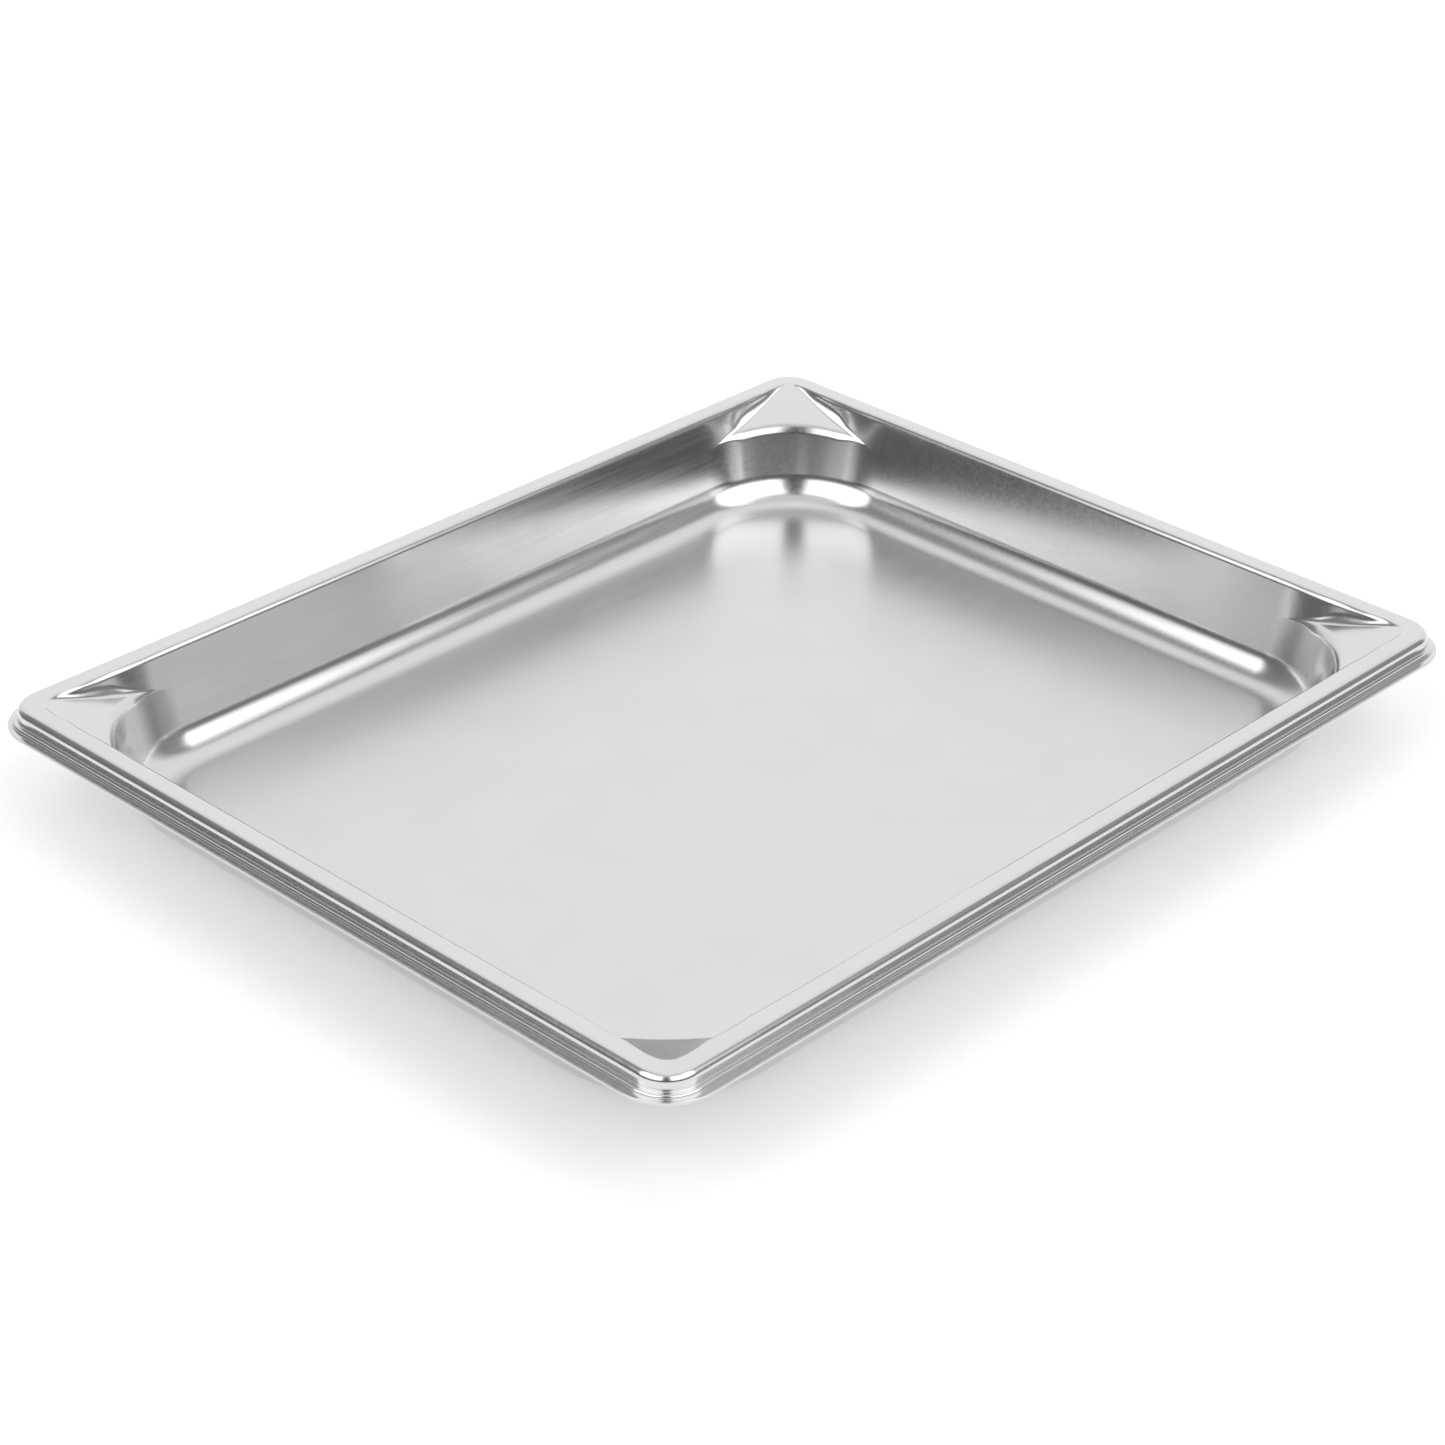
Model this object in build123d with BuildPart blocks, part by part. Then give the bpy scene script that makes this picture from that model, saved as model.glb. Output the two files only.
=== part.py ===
from build123d import *
import os
from math import cos, radians, sin, sqrt, tan

# A shallow developing tray pressed from one piece of stainless sheet. It lies level with its long
# side along X, its open side up, and the middle of its underside at the origin. Sizes are in mm.

# overall, over the lip
length = 325.0
width = 265.0
height = 31.8
sheet = 0.8

# rim, from the cut edge inwards: flat lip, low step, ledge, tall step, crown
lip_corner = 15.8
lip_run = 2.0
ledge_run = 1.65
ledge_drop = 4.3
ledge_root = 0.2
crown_run = 7.25
crown_corner = 10.0
crown_nose = 2.3
crown_root = 0.4
inner_nose = 2.35

# pocket: drafted walls, wide corners and a flat floor
draft = 14.0
pocket_corner = 44.3
floor_radius = 12.0

# a pad slopes down across each corner, from the crown to the wide corner of the pocket
pad_slope = 19.5
# from the pocket's corner point to the line where the pad leaves the crown
pad_setback = 0.7
# how far the pad laps the rim strip, and the depth over which it does
pad_lap = 1.2
pad_reach = 12.0

# how far down the wall the rim strip reaches, where it laps the pocket
rim_lap = 2.4
# arc at the tight outer bend of the ledge's underside
under_nose = 0.04
# flat left on the low step between its two bends
step_flat = 0.06
# how deep the notch outside each wide corner is cut, as a share of the depth where its taper ends
notch_share = 0.9

# the sheet is bent round the ledge's edge, so its top arc is one thickness wider than its underside
ledge_nose = under_nose + sheet
lip_drop = ledge_drop + ledge_nose + step_flat + ledge_root
crown_inset = lip_run + ledge_run
pocket_inset = crown_inset + crown_run
pocket_length = length - 2 * pocket_inset
pocket_width = width - 2 * pocket_inset
wall_slope = tan(radians(draft))
# plan radius of the narrow notch, outside the wide corner, that the pad closes from below
notch_corner = crown_corner - crown_run
notch_depth = notch_share * notch_corner / wall_slope
# level where the rounded inner edge of the crown runs out into the wall
nose_drop = inner_nose * (1 / cos(radians(draft)) - wall_slope) * cos(radians(draft))
trim = 2 * height


def from_rim_level():
    return Plane(origin=(0, 0, height), x_dir=(1, 0, 0), z_dir=(0, 0, -1))


def tapered_block(grow, corner, depth, angle):
    # A rounded rectangle that starts as the pocket's outline at rim level and narrows downwards.
    with BuildPart() as block:
        with BuildSketch(from_rim_level()):
            RectangleRounded(pocket_length + 2 * grow, pocket_width + 2 * grow, corner + grow)
        extrude(amount=depth, taper=angle)
    return block.part


def under_pads(sink):
    # Four blocks, each filling one corner below its pad's plane, sunk square to that plane.
    with BuildPart() as blocks:
        for along in (1, -1):
            for across in (1, -1):
                inward = Vector(-along, -across, 0) / sqrt(2)
                corner_point = Vector(along * pocket_length / 2, across * pocket_width / 2, height)
                downhill = inward - Vector(0, 0, tan(radians(pad_slope)))
                down = downhill.normalized().rotate(Axis((0, 0, 0), inward.cross(Vector(0, 0, 1))), -90)
                start = corner_point + inward * pad_setback + down * sink
                with BuildSketch(Plane(origin=start, z_dir=down)):
                    Rectangle(2 * pocket_corner, 2 * pocket_corner)
                extrude(amount=trim)
    return blocks.part


def hollow(grow):
    # What the pocket holds, level with the rim, with every side and the floor moved out by grow.
    side = grow / cos(radians(draft))
    notch = tapered_block(side, notch_corner, notch_depth, draft) - under_pads(grow)
    with BuildPart() as space:
        add(tapered_block(side, pocket_corner, height - sheet + grow, draft))
        fillet(space.faces().sort_by(Axis.Z)[0].edges(), floor_radius + grow)
        add(notch)
    return space.part


inside = hollow(0)
outside = hollow(sheet)

# The crown, its two steps and the lip: one strip bent to this section and carried round the outline.
half_crown_length = length / 2 - crown_inset
half_crown_width = width / 2 - crown_inset
wall_foot = crown_run + rim_lap * wall_slope
# shift of the underside's corner where the crown turns down into the drafted wall
wall_shift = sheet * tan(radians(45 - draft / 2))

with BuildPart() as rim:
    with BuildLine(Plane.XY.offset(height)) as quarter_outline:
        FilletPolyline(
            (0, half_crown_width),
            (half_crown_length, half_crown_width),
            (half_crown_length, 0),
            radius=crown_corner,
        )
    with BuildSketch(Plane(origin=(0, half_crown_width, height), x_dir=(0, 1, 0), z_dir=(1, 0, 0))):
        with BuildLine():
            top_face = FilletPolyline(
                (crown_inset, -lip_drop),
                (ledge_run, -lip_drop),
                (ledge_run, -ledge_drop),
                (0, -ledge_drop),
                (0, 0),
                (-crown_run, 0),
                (-wall_foot, -rim_lap),
                radius=[ledge_root, ledge_nose, crown_root, crown_nose, inner_nose],
            )
            under_face = FilletPolyline(
                (crown_inset, -lip_drop - sheet),
                (ledge_run - sheet, -lip_drop - sheet),
                (ledge_run - sheet, -ledge_drop - sheet),
                (-sheet, -ledge_drop - sheet),
                (-sheet, -sheet),
                (-crown_run + wall_shift, -sheet),
                (-wall_foot + sheet * cos(radians(draft)), -rim_lap - sheet * sin(radians(draft))),
                radius=[
                    ledge_root + sheet,
                    under_nose,
                    crown_root + sheet,
                    crown_nose - sheet,
                    inner_nose - sheet,
                ],
            )
            Line(top_face @ 0, under_face @ 0)
            Line(top_face @ 1, under_face @ 1)
        make_face()
    sweep(path=quarter_outline.line)
    mirror(about=Plane.YZ)
    mirror(about=Plane.XZ)
    with BuildSketch():
        RectangleRounded(length, width, lip_corner)
    extrude(amount=height, mode=Mode.INTERSECT)


# The pocket is a skin of the sheet's thickness, up to where the crown's rounded inner edge takes over.
with BuildPart() as pocket:
    add(outside - inside)
    with BuildSketch():
        Rectangle(length, width)
    extrude(amount=height - nose_drop, mode=Mode.INTERSECT)

# Each pad is the sheet between its plane and the plane one thickness below, spread a little past
# the pocket's outline so that it laps the rim strip.
with BuildPart() as pads:
    add(tapered_block(pad_lap, notch_corner, pad_reach, draft) - inside)
    add(under_pads(0), mode=Mode.INTERSECT)
    add(under_pads(sheet), mode=Mode.SUBTRACT)

with BuildPart() as tray:
    add(rim.part)
    add(pocket.part)
    add(pads.part)
tray.part.label = "tray"

os.makedirs("parts", exist_ok=True)
export_step(tray.part, "parts/tray.step")
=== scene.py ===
import bpy
from math import asin, cos, pi, radians, sin, sqrt, tan
from mathutils import Matrix, Vector


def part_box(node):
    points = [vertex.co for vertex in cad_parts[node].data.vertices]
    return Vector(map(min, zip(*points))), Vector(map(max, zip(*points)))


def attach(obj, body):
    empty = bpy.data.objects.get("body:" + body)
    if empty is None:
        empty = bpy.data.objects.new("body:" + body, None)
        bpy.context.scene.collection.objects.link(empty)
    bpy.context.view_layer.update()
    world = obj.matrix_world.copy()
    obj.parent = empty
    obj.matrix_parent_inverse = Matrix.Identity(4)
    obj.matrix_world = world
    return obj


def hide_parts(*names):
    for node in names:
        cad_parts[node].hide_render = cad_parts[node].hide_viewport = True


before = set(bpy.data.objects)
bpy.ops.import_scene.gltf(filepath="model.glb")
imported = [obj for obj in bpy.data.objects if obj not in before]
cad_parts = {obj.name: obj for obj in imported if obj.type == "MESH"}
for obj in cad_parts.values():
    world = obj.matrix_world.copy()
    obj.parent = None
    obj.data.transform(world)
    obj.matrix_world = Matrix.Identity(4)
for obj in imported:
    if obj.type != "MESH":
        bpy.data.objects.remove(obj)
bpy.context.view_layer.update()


# ---- The tray -----------------------------------------------------------------------------------
# The whole object: one sheet of stainless steel, 0.8 mm thick, pressed in one stroke to a flat floor,
# drafted walls, wide round corners and a stepped rim, then trimmed along the edge of its lip.

scene = bpy.context.scene
MM = 0.001


class Measure:
    """A number worked out inside the tray's node tree for each point of the sheet."""

    def __init__(self, tree, socket):
        self.tree = tree
        self.socket = socket

    def work(self, operation, *others):
        node = self.tree.nodes.new("ShaderNodeMath")
        node.operation = operation
        for slot, value in zip(node.inputs, (self, *others)):
            plug(self.tree, value, slot)
        return Measure(self.tree, node.outputs[0])

    def __add__(self, other):
        return self.work("ADD", other)

    def __radd__(self, other):
        return self.work("ADD", other)

    def __sub__(self, other):
        return self.work("SUBTRACT", other)

    def __rsub__(self, other):
        return (self * -1.0).work("ADD", other)

    def __mul__(self, other):
        return self.work("MULTIPLY", other)

    def __rmul__(self, other):
        return self.work("MULTIPLY", other)

    def __truediv__(self, other):
        return self.work("DIVIDE", other)

    def at_least(self, other):
        return self.work("MAXIMUM", other)

    def at_most(self, other):
        return self.work("MINIMUM", other)

    def is_over(self, other):
        return self.work("GREATER_THAN", other)

    def sine(self):
        return self.work("SINE")

    def cosine(self):
        return self.work("COSINE")

    def tangent(self):
        return self.work("TANGENT")


def plug(tree, value, slot):
    """Joins a worked-out measure, a socket or a plain number to a node's input."""
    if isinstance(value, Measure):
        tree.links.new(value.socket, slot)
    elif isinstance(value, bpy.types.NodeSocket):
        tree.links.new(value, slot)
    else:
        slot.default_value = value


def step(tree, kind, inputs, settings=None):
    """Adds one node of that kind, sets it up, joins its inputs and returns it."""
    node = tree.nodes.new(kind)
    for name, value in (settings or {}).items():
        setattr(node, name, value)
    for name, value in inputs.items():
        plug(tree, value, node.inputs[name])
    return node


def blend_of(low, high, share):
    """The value that lies the given share of the way from low to high."""
    return low + share * (high - low)


def pick(tree, number, choices):
    """Takes the choice with that number, as from a row of drawers."""
    node = tree.nodes.new("GeometryNodeIndexSwitch")
    node.data_type = "FLOAT"
    while len(node.index_switch_items) < len(choices):
        node.index_switch_items.new()
    plug(tree, number, node.inputs["Index"])
    for slot, value in zip(list(node.inputs)[1:], choices):
        plug(tree, value, slot)
    return Measure(tree, node.outputs[0])


def tray_tree(sizes):
    """The press that shapes the sheet. One quarter is drawn as lines that run down the section, from the
    lip to the middle of the floor, each bent at its corners. They are lofted, and mirrored twice."""
    tree = bpy.data.node_groups.new("tray_press", "GeometryNodeTree")
    tree.interface.new_socket("Geometry", in_out="OUTPUT", socket_type="NodeSocketGeometry")
    for name, value in sizes.items():
        kind = "NodeSocketInt" if isinstance(value, int) else "NodeSocketFloat"
        socket = tree.interface.new_socket(name, in_out="INPUT", socket_type=kind)
        socket.default_value = value
    metal = tree.interface.new_socket("metal", in_out="INPUT", socket_type="NodeSocketMaterial")
    entry = tree.nodes.new("NodeGroupInput")
    size = {name: Measure(tree, entry.outputs[name]) for name in sizes}

    half_length = size["length"] / 2.0
    half_width = size["width"] / 2.0
    spine = half_length - half_width
    bends = 12.0
    lines = size["corner lines"] + 2.0 * (size["side lines"] + size["long lines"]) + 1.0

    # where each point belongs: which line round the tray, and which bend down that line
    number = Measure(tree, tree.nodes.new("GeometryNodeInputIndex").outputs[0])
    line = (number / bends).work("FLOOR")
    bend = (number - line * bends).work("ROUND")
    middle = (lines - 1.0) / 2.0
    from_corner = (line - middle).work("ABSOLUTE")
    on_short_side = line.is_over(middle)

    # how far the line is along the corner's arc, along the pad's stretch of the side, and beyond it
    half_corner = size["corner lines"] / 2.0
    arc_share = (from_corner / half_corner).at_most(1.0)
    side_share = ((from_corner - half_corner) / size["side lines"]).at_least(0.0).at_most(1.0)
    long_share = ((from_corner - half_corner - size["side lines"]) / size["long lines"]).at_least(0.0)
    half_side = half_length + on_short_side * (half_width - half_length)

    # The crown's corner is drawn about one centre, so its arc shrinks as the outline moves in.
    rim_turn = pi / 4 * (1.0 - arc_share)
    rim_across = rim_turn.sine()
    rim_down = rim_turn.cosine()
    wide_start = size["pocket inset"] + size["pocket corner"]

    def along_side(start):
        return blend_of(blend_of(start, wide_start, side_share), half_side, long_share)

    def rim_point(inset, corner):
        along = along_side(inset + corner) - corner * rim_across
        across = inset + corner - corner * rim_down
        return along, across

    def crown_point(inset):
        return rim_point(inset, size["crown centre"] - inset)

    # The pocket's corner is wide: its lines fan out from the crown's narrow one, quickly at first, and the
    # last of them leave it just short of where its arc ends.
    draft_degrees = 14.0
    draft = tan(radians(draft_degrees))
    fan_slowing = 0.3
    fan_reach = 0.938
    fan = 1.0 - side_share
    wide_sine = fan * (1.0 - fan_slowing * fan) * fan_reach
    edge_turn = asin(fan_reach * (1.0 - fan_slowing))
    wide_turn = wide_sine.work("ARCSINE") + (1.0 - arc_share) * (pi / 4 - edge_turn)
    wide_across = wide_turn.sine()
    wide_down = wide_turn.cosine()

    def pocket_point(inset):
        corner = wide_start - inset
        along = blend_of(wide_start, half_side, long_share) - corner * wide_across
        across = wide_start - corner * wide_down
        return along, across

    # The pad is a plane that falls towards the middle of the tray across the corner. Along a line it
    # starts under the crown's inner nose, or at the wall, and there it makes the crease.
    slope = size["pad slope"].tangent()
    pad_edge = size["pad start"]
    flat_edge = size["flat edge"]
    nose = size["nose radius"]
    wall_angle = radians(90.0 - draft_degrees)
    wall_line = size["pocket inset"] - flat_edge
    along, across = crown_point(flat_edge)
    flat_reach = (along.at_most(wide_start) + across) / sqrt(2.0)
    facing = (rim_across + rim_down) / sqrt(2.0)
    fall = slope * facing
    pad_top = (pad_edge - flat_reach) / facing
    wall_meets = (wall_line * tan(wall_angle) - fall * pad_top) / (tan(wall_angle) - fall)
    least_pad = 0.8 * MM
    crease = wall_meets.at_least(pad_top + least_pad)
    crease_drop = fall * (crease - pad_top)
    # a crease that lies lower than this leaves room for the whole nose above it
    full_nose = 3.09 * MM
    nose_share = (crease_drop / full_nose).at_most(1.0).work("SQRT")
    nose_foot = crease - crease_drop / (nose_share * wall_angle).tangent()

    # where the pad runs out over the wide corner's wall
    along, across = pocket_point(size["pocket inset"])
    wide_reach = (along.at_most(wide_start) + across) / sqrt(2.0)
    wide_facing = (wide_across + wide_down) / sqrt(2.0)
    brow_drop = slope * (wide_reach - pad_edge) / (1.0 - slope * draft * wide_facing)
    least_fall = 0.4 * MM
    brow_drop = brow_drop.at_least(crease_drop + least_fall)

    floor_drop = size["height"] - size["sheet"]
    floor_foot = size["pocket inset"] + floor_drop * draft
    lip_top = size["lip drop"]
    drops = [lip_top, lip_top, size["ledge drop"], size["ledge drop"], 0.0, 0.0,
             crease_drop, brow_drop, floor_drop, floor_drop, floor_drop, floor_drop]
    floor_margin = 22.0 * MM
    nose_point = crown_point(flat_edge + nose_foot)
    brow_point = pocket_point(size["pocket inset"] + brow_drop * draft)
    # Where the pad gets narrow its crease and its brow fade together into one soft shoulder.
    shoulder = ((brow_drop - crease_drop - least_fall) / size["shoulder fade"]).at_least(0.0).at_most(1.0)
    straight = crease_drop / brow_drop
    crease_point = [blend_of(blend_of(top, foot, straight), place, shoulder)
                    for top, foot, place in zip(nose_point, brow_point, crown_point(flat_edge + crease))]
    corners = [
        rim_point(0.0, size["lip corner"]),
        crown_point(size["lip run"]),
        crown_point(size["lip run"]),
        crown_point(size["crown inset"]),
        crown_point(size["crown inset"]),
        nose_point,
        crease_point,
        brow_point,
        pocket_point(floor_foot),
        pocket_point(floor_foot + floor_margin),
    ]
    edge_along, edge_across = corners[-1]
    # the last bend is the tray's middle line, and the one before it is half-way there
    end_along_long = (half_length - edge_along).at_least(0.0).at_most(spine)
    end_along = (half_length - end_along_long) * (1.0 - on_short_side) + half_width * on_short_side
    end_across = half_width * (1.0 - on_short_side) + (half_length - spine) * on_short_side
    corners.append((blend_of(edge_along, end_along, 0.5), blend_of(edge_across, end_across, 0.5)))
    corners.append((end_along, end_across))
    # the crease is sharp where it starts, at the crown, and is fully round further down
    sharp_start = 0.3 * MM
    sharpest = 0.02
    creased = ((crease_drop - sharp_start) / full_nose).at_least(sharpest).at_most(1.0)
    radii = [0.0, size["root radius"], size["ledge radius"], size["crown root"], size["crown radius"],
             nose, size["crease radius"] * creased, size["brow radius"], size["floor radius"], 0.0, 0.0, 0.0]

    along = pick(tree, bend, [point[0] for point in corners])
    across = pick(tree, bend, [point[1] for point in corners])
    drop = pick(tree, bend, drops)
    along_length = along + on_short_side * (across - along)
    along_width = across + on_short_side * (along - across)
    place = tree.nodes.new("ShaderNodeCombineXYZ")
    plug(tree, half_length - along_length, place.inputs["X"])
    plug(tree, half_width - along_width, place.inputs["Y"])
    plug(tree, size["height"] - drop, place.inputs["Z"])

    # the lines, bent
    dots = step(tree, "GeometryNodePoints", {"Count": lines * bends, "Position": place.outputs[0]})
    marked = step(tree, "GeometryNodeStoreNamedAttribute",
                  {"Geometry": dots.outputs[0], "Name": "bend radius", "Value": pick(tree, bend, radii)},
                  {"data_type": "FLOAT", "domain": "POINT"})
    strung = step(tree, "GeometryNodePointsToCurves",
                  {"Points": marked.outputs[0], "Curve Group ID": line, "Weight": bend})
    radius = step(tree, "GeometryNodeInputNamedAttribute", {"Name": "bend radius"}, {"data_type": "FLOAT"})
    bent = step(tree, "GeometryNodeFilletCurve",
                {"Curve": strung.outputs[0], "Radius": radius.outputs[0], "Count": size["bend steps"],
                 "Limit Radius": True}, {"mode": "POLY"})

    # the loft over the lines
    counted = step(tree, "GeometryNodeAttributeDomainSize",
                   {"Geometry": bent.outputs[0]}, {"component": "CURVE"})
    rows = Measure(tree, counted.outputs["Point Count"]) / lines
    sheet = step(tree, "GeometryNodeMeshGrid", {"Vertices X": lines, "Vertices Y": rows})
    taken = step(tree, "GeometryNodeSampleIndex",
                 {"Geometry": bent.outputs[0],
                  "Value": tree.nodes.new("GeometryNodeInputPosition").outputs[0],
                  "Index": tree.nodes.new("GeometryNodeInputIndex").outputs[0]},
                 {"data_type": "FLOAT_VECTOR", "domain": "POINT"})
    laid = step(tree, "GeometryNodeSetPosition",
                {"Geometry": sheet.outputs["Mesh"], "Position": taken.outputs[0]})
    quarter = step(tree, "GeometryNodeFlipFaces", {"Mesh": laid.outputs[0]}).outputs[0]

    # mirrored to a half, then to the whole
    for side in ((-1.0, 1.0, 1.0), (1.0, -1.0, 1.0)):
        moved = step(tree, "GeometryNodeTransform", {"Geometry": quarter, "Scale": side})
        turned = step(tree, "GeometryNodeFlipFaces", {"Mesh": moved.outputs[0]})
        both = tree.nodes.new("GeometryNodeJoinGeometry")
        tree.links.new(quarter, both.inputs[0])
        tree.links.new(turned.outputs[0], both.inputs[0])
        quarter = both.outputs[0]
    weld_gap = 0.004 * MM
    welded = step(tree, "GeometryNodeMergeByDistance", {"Geometry": quarter, "Distance": weld_gap})
    smooth = step(tree, "GeometryNodeSetShadeSmooth", {"Geometry": welded.outputs[0]})
    real = step(tree, "GeometryNodeRealizeInstances", {"Geometry": smooth.outputs[0]})
    done = step(tree, "GeometryNodeSetMaterial",
                {"Geometry": real.outputs[0], "Material": entry.outputs["metal"]})
    leave = tree.nodes.new("NodeGroupOutput")
    tree.links.new(done.outputs[0], leave.inputs[0])
    return tree


def brushed_steel():
    """Cold-rolled stainless steel: matt on the flat floor, drawn brighter along the walls and the rim, with
    the mill's fine lines along the sheet, a slight wave in the drawn metal and a few faint scratches."""
    steel = bpy.data.materials.new("brushed_steel")
    steel.use_nodes = True
    tree = steel.node_tree
    shader = tree.nodes["Principled BSDF"]
    shader.inputs["Metallic"].default_value = 1.0
    place = tree.nodes.new("ShaderNodeTexCoord").outputs["Object"]

    def cloud(stretch, detail, turn=0.0):
        """A soft pattern: stretch is how many times it changes over a metre, along each axis."""
        laid = tree.nodes.new("ShaderNodeMapping")
        tree.links.new(place, laid.inputs["Vector"])
        laid.inputs["Rotation"].default_value = (0.0, 0.0, radians(turn))
        laid.inputs["Scale"].default_value = stretch
        noise = tree.nodes.new("ShaderNodeTexNoise")
        tree.links.new(laid.outputs[0], noise.inputs["Vector"])
        noise.inputs["Scale"].default_value = 1.0
        noise.inputs["Detail"].default_value = detail
        return noise.outputs["Fac"]

    def span(value, start, end, low, high):
        """Eases from low to high as the value goes from start to end."""
        ranged = tree.nodes.new("ShaderNodeMapRange")
        ranged.interpolation_type = "SMOOTHSTEP"
        tree.links.new(value, ranged.inputs["Value"])
        for name, number in (("From Min", start), ("From Max", end), ("To Min", low), ("To Max", high)):
            ranged.inputs[name].default_value = number
        return Measure(tree, ranged.outputs["Result"])

    height = tree.nodes.new("ShaderNodeSeparateXYZ")
    tree.links.new(place, height.inputs[0])
    floor_rough = 0.30
    wall_rough = 0.17
    gloss = span(height.outputs["Z"], 0.9 * MM, 4.0 * MM, floor_rough, wall_rough)
    mill = cloud((35.0, 1100.0, 1100.0), 3.0)
    grain = cloud((1500.0, 1500.0, 1500.0), 2.0)
    wave = cloud((16.0, 16.0, 24.0), 1.0)
    patches = cloud((38.0, 38.0, 60.0), 4.0)
    # the scratches are the tops of two crossing, drawn-out patterns, and stay off the floor
    scratches = span(cloud((9.0, 620.0, 620.0), 2.0, 28.0), 0.70, 0.76, 0.0, 1.0)
    scratches += span(cloud((640.0, 11.0, 640.0), 2.0, -17.0), 0.71, 0.77, 0.0, 1.0)
    scratches = scratches * span(height.outputs["Z"], 1.5 * MM, 5.0 * MM, 0.0, 1.0)

    scratch_rough = 0.03
    rough = gloss + span(mill, 0.3, 0.7, -0.02, 0.02) + span(patches, 0.35, 0.70, -0.006, 0.012)
    rough = rough + scratches * scratch_rough
    tree.links.new(rough.socket, shader.inputs["Roughness"])

    tone = tree.nodes.new("ShaderNodeMix")
    tone.data_type = "RGBA"
    tree.links.new(span(patches, 0.35, 0.75, 0.0, 1.0).socket, tone.inputs["Factor"])
    tone.inputs["A"].default_value = (0.688, 0.687, 0.684, 1.0)
    tone.inputs["B"].default_value = (0.676, 0.673, 0.667, 1.0)
    tree.links.new(tone.outputs["Result"], shader.inputs["Base Color"])

    wave_height = 0.02 * MM
    line_height = 0.0004 * MM
    grain_share = 0.5
    waved = tree.nodes.new("ShaderNodeBump")
    waved.inputs["Strength"].default_value = 1.0
    waved.inputs["Distance"].default_value = wave_height
    tree.links.new(wave, waved.inputs["Height"])
    lined = tree.nodes.new("ShaderNodeBump")
    lined.inputs["Strength"].default_value = 0.5
    lined.inputs["Distance"].default_value = line_height
    fine = Measure(tree, mill) + Measure(tree, grain) * grain_share
    tree.links.new(fine.socket, lined.inputs["Height"])
    tree.links.new(waved.outputs["Normal"], lined.inputs["Normal"])
    tree.links.new(lined.outputs["Normal"], shader.inputs["Normal"])
    return steel


low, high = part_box("tray")
tray_sizes = {
    "length": high.x - low.x,
    "width": high.y - low.y,
    "height": high.z - low.z,
    "sheet": 0.8 * MM,
    "lip corner": 15.8 * MM,
    "lip run": 2.0 * MM,
    "lip drop": 5.4 * MM,
    "ledge drop": 4.3 * MM,
    "root radius": 0.2 * MM,
    "ledge radius": 0.84 * MM,
    "crown inset": 3.65 * MM,
    "crown root": 0.4 * MM,
    "crown radius": 2.3 * MM,
    "crown centre": 13.65 * MM,
    "flat edge": 9.05 * MM,
    "nose radius": 2.35 * MM,
    "pocket inset": 10.9 * MM,
    "pocket corner": 44.3 * MM,
    "pad start": 16.125 * MM,
    "pad slope": radians(19.5),
    "crease radius": 5.5 * MM,
    "brow radius": 4.5 * MM,
    "floor radius": 12.0 * MM,
    "shoulder fade": 1.4 * MM,
    "corner lines": 24,
    "side lines": 24,
    "long lines": 6,
    "bend steps": 10,
}
steel = brushed_steel()
blank = bpy.data.objects.new("blank", bpy.data.meshes.new("blank"))
scene.collection.objects.link(blank)
press = blank.modifiers.new("press", "NODES")
press.node_group = tray_tree(tray_sizes)
for socket in press.node_group.interface.items_tree:
    if socket.in_out == "INPUT":
        press[socket.identifier] = steel if socket.name == "metal" else tray_sizes[socket.name]
pressed = bpy.data.meshes.new_from_object(blank.evaluated_get(bpy.context.evaluated_depsgraph_get()))
blank.modifiers.remove(press)
bpy.data.objects.remove(blank)

tray = bpy.data.objects.new("tray_sheet", pressed)
scene.collection.objects.link(tray)
gauge = tray.modifiers.new("gauge", "SOLIDIFY")
gauge.thickness = tray_sizes["sheet"]
gauge.offset = -1.0
gauge.use_even_offset = True
# the trimmed edge of the lip is dressed smooth
dressed = tray.modifiers.new("dressed_edge", "BEVEL")
dressed.limit_method = "ANGLE"
dressed.angle_limit = radians(60.0)
dressed.width = 0.15 * MM
dressed.segments = 3
# the flats stay flat up to their bends
true_flats = tray.modifiers.new("true_flats", "WEIGHTED_NORMAL")
true_flats.weight = 80
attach(tray, "root")
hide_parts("tray")


# ---- The studio ---------------------------------------------------------------------------------
# A pale, faintly lit table in a room with two big soft boxes left and right of the camera and a dark gap
# between them. The room is bright behind the tray and dark low down behind the camera.

table_reach = 3.0
table_mesh = bpy.data.meshes.new("table")
table_corners = [(-table_reach, -table_reach, 0), (table_reach, -table_reach, 0),
                 (table_reach, table_reach, 0), (-table_reach, table_reach, 0)]
table_mesh.from_pydata(table_corners, [], [(0, 1, 2, 3)])
table = bpy.data.objects.new("table", table_mesh)
scene.collection.objects.link(table)
pale = bpy.data.materials.new("pale_table")
pale.use_nodes = True
pale_inputs = pale.node_tree.nodes["Principled BSDF"].inputs
pale_inputs["Base Color"].default_value = (0.8, 0.8, 0.8, 1.0)
pale_inputs["Emission Color"].default_value = (1.0, 1.0, 1.0, 1.0)
pale_inputs["Emission Strength"].default_value = 0.25
pale_inputs["Roughness"].default_value = 0.8
table_mesh.materials.append(pale)

room = bpy.data.worlds.new("room")
scene.world = room
room.use_nodes = True
room_tree = room.node_tree
sky = room_tree.nodes["Background"]
outlook = room_tree.nodes.new("ShaderNodeTexCoord").outputs["Generated"]


def room_step(operation, *values):
    """One step of sums in the room's shader."""
    node = room_tree.nodes.new("ShaderNodeMath")
    node.operation = operation
    for slot, value in zip(node.inputs, values):
        plug(room_tree, value, slot)
    return node.outputs[0]


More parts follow.
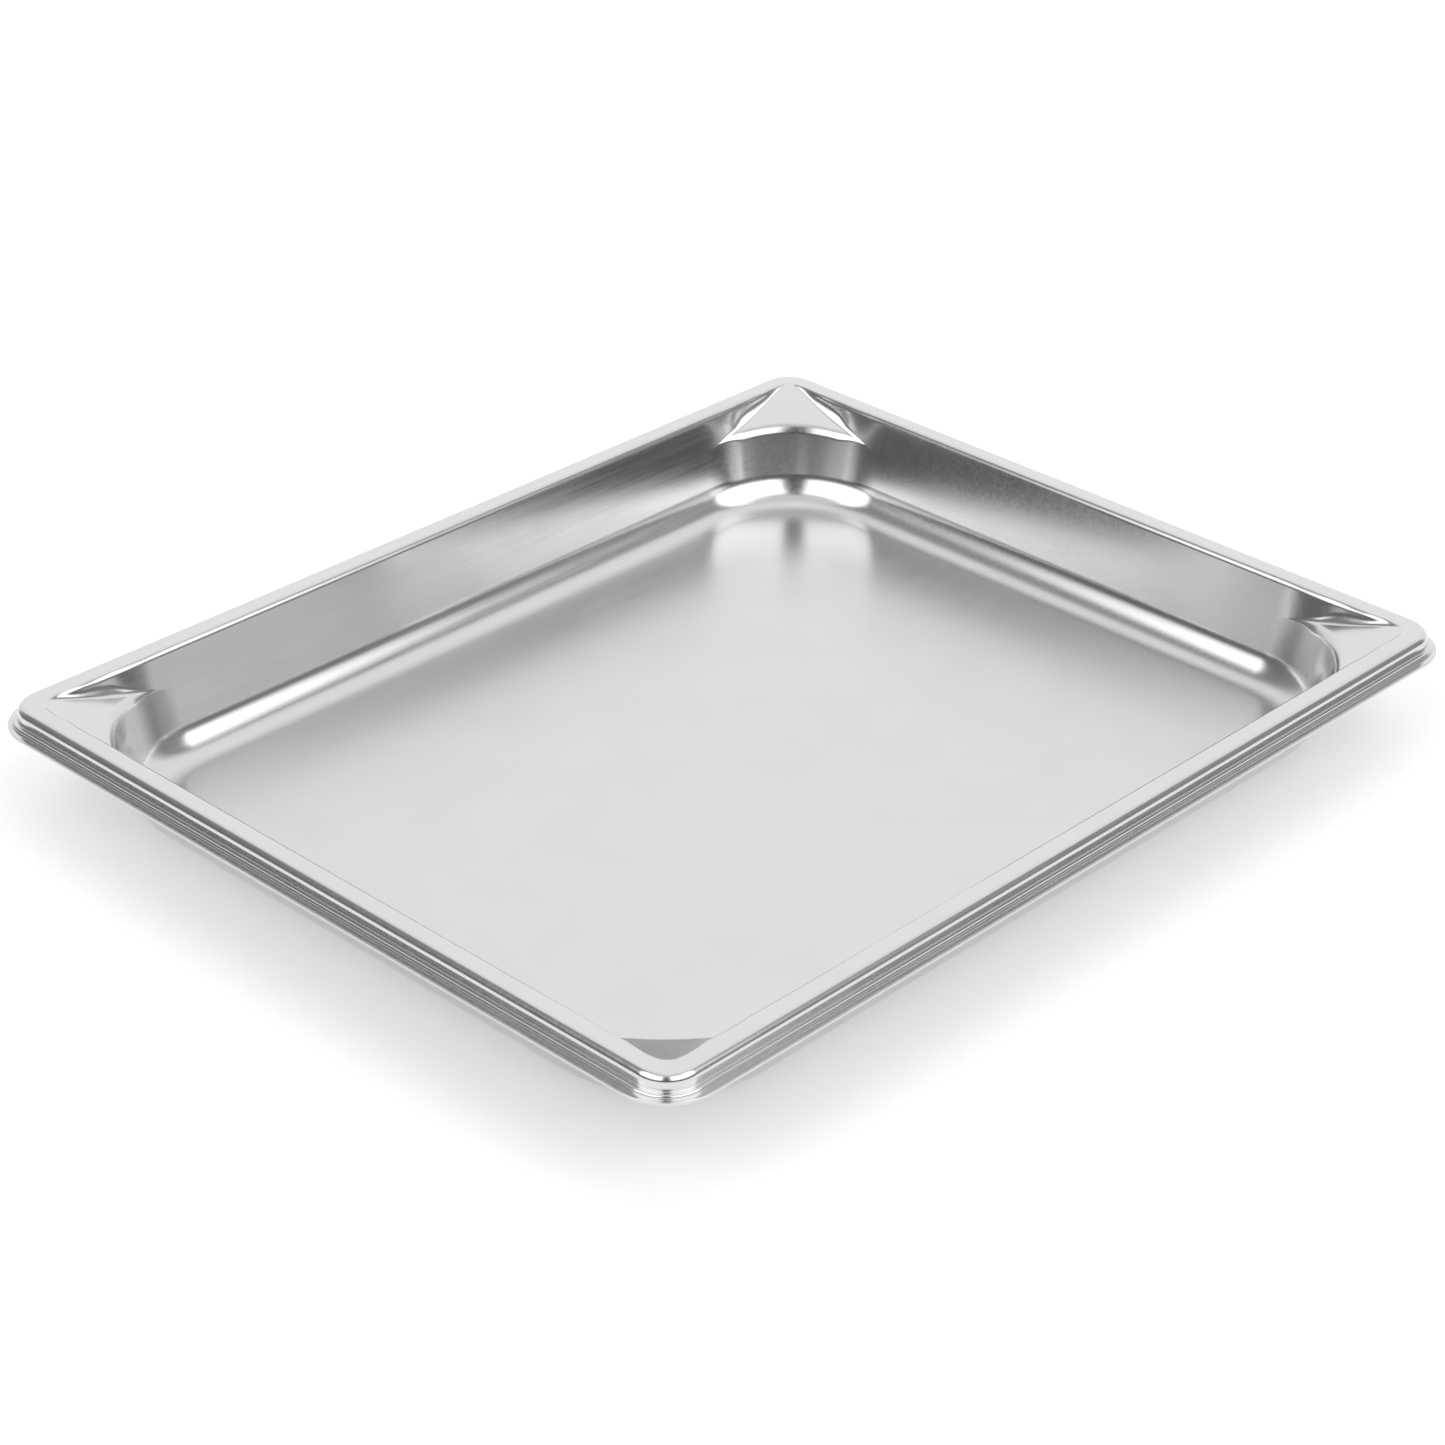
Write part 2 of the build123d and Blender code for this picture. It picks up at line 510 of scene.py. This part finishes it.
def lean(direction):
    """How far the outlook leans along a direction, from -1 to 1."""
    node = room_tree.nodes.new("ShaderNodeVectorMath")
    node.operation = "DOT_PRODUCT"
    room_tree.links.new(outlook, node.inputs[0])
    node.inputs[1].default_value = direction
    return node.outputs["Value"]


def soft_steps(value, stops):
    """A brightness that eases from stop to stop as the value grows from 0 to 1."""
    ramp = room_tree.nodes.new("ShaderNodeValToRGB")
    ramp.color_ramp.interpolation = "EASE"
    room_tree.links.new(value, ramp.inputs[0])
    while len(ramp.color_ramp.elements) < len(stops):
        ramp.color_ramp.elements.new(0.5)
    for element, (position, grey) in zip(ramp.color_ramp.elements, stops):
        element.position = position
        element.color = (grey, grey, grey, 1.0)
    return ramp.outputs["Color"]


# The heading runs once round the room: 0.5 is straight behind the tray, 0 and 1 are at the camera, and
# numbers below 0.5 lie to the right. The rise is 0 at the horizon and 1 overhead. Each stop is a place
# along one of them and how bright the room, or a box, is there.
away = radians(43.6)
ahead = lean((cos(away), sin(away), 0.0))
aside = lean((-sin(away), cos(away), 0.0))
heading = room_step("ADD", room_step("DIVIDE", room_step("ARCTAN2", aside, ahead), 2.0 * pi), 0.5)
rise = room_step("DIVIDE", room_step("ARCSINE", lean((0.0, 0.0, 1.0))), pi / 2)
walls = soft_steps(heading, [(0.0, 0.11), (0.20, 0.14), (0.25, 0.30), (0.30, 0.30), (0.345, 1.0), (0.5, 1.08),
                             (0.61, 0.98), (0.68, 0.30), (0.74, 0.20), (0.80, 0.12), (1.0, 0.11)])
ceiling = soft_steps(rise, [(0.70, 0.0), (0.82, 0.80)])
# the boxes lean: their edges beside the tray move round as they rise
lean_rate = 0.15
lean_at_horizon = -0.067
lean_now = room_step("MULTIPLY_ADD", rise, lean_rate, lean_at_horizon)
lean_over = room_step("MULTIPLY", room_step("SIGN", aside), lean_now)
box_edges = soft_steps(room_step("ADD", heading, lean_over),
                       [(0.0, 1.0), (0.250, 1.0), (0.268, 0.0), (0.746, 0.0), (0.766, 1.0), (1.0, 1.0)])
box_gap = soft_steps(heading, [(0.0, 0.0), (0.018, 0.0), (0.05, 1.0), (0.95, 1.0), (0.982, 0.0), (1.0, 0.0)])
box_rise = soft_steps(rise, [(0.16, 0.0), (0.26, 1.0), (0.66, 1.0), (0.80, 0.0)])
box_shape = room_step("MULTIPLY", room_step("MULTIPLY", box_edges, box_gap), box_rise)
box_glow = 1.9
boxes = room_step("MULTIPLY", box_shape, box_glow)
shell = room_step("MAXIMUM", walls, ceiling)
room_tree.links.new(room_step("ADD", shell, boxes), sky.inputs["Color"])
sky.inputs["Strength"].default_value = 1.0


# ---- The camera ---------------------------------------------------------------------------------
# A long lens at nearly a metre, looking down over the near corner. The camera is turned and tilted
# about its aim, and rolled a little.

turn = radians(-46.42)
tilt = radians(29.73)
back = Vector((sin(turn) * cos(tilt), -cos(turn) * cos(tilt), sin(tilt)))
aim = Vector((-0.02674, -0.01956, high.z))
roll = radians(0.62)
right = Vector((0, 0, 1)).cross(back).normalized()
up = back.cross(right)
level_right = cos(roll) * right + sin(roll) * up
level_up = -sin(roll) * right + cos(roll) * up
lens = bpy.data.cameras.new("camera")
lens.sensor_width = 36.0
lens.lens = 88.43
camera = bpy.data.objects.new("camera", lens)
scene.collection.objects.link(camera)
distance = 0.9717
place = aim + back * distance
camera.matrix_world = Matrix((
    (level_right.x, level_up.x, back.x, place.x),
    (level_right.y, level_up.y, back.y, place.y),
    (level_right.z, level_up.z, back.z, place.z),
    (0, 0, 0, 1),
))
scene.camera = camera
scene.view_settings.view_transform = "Standard"
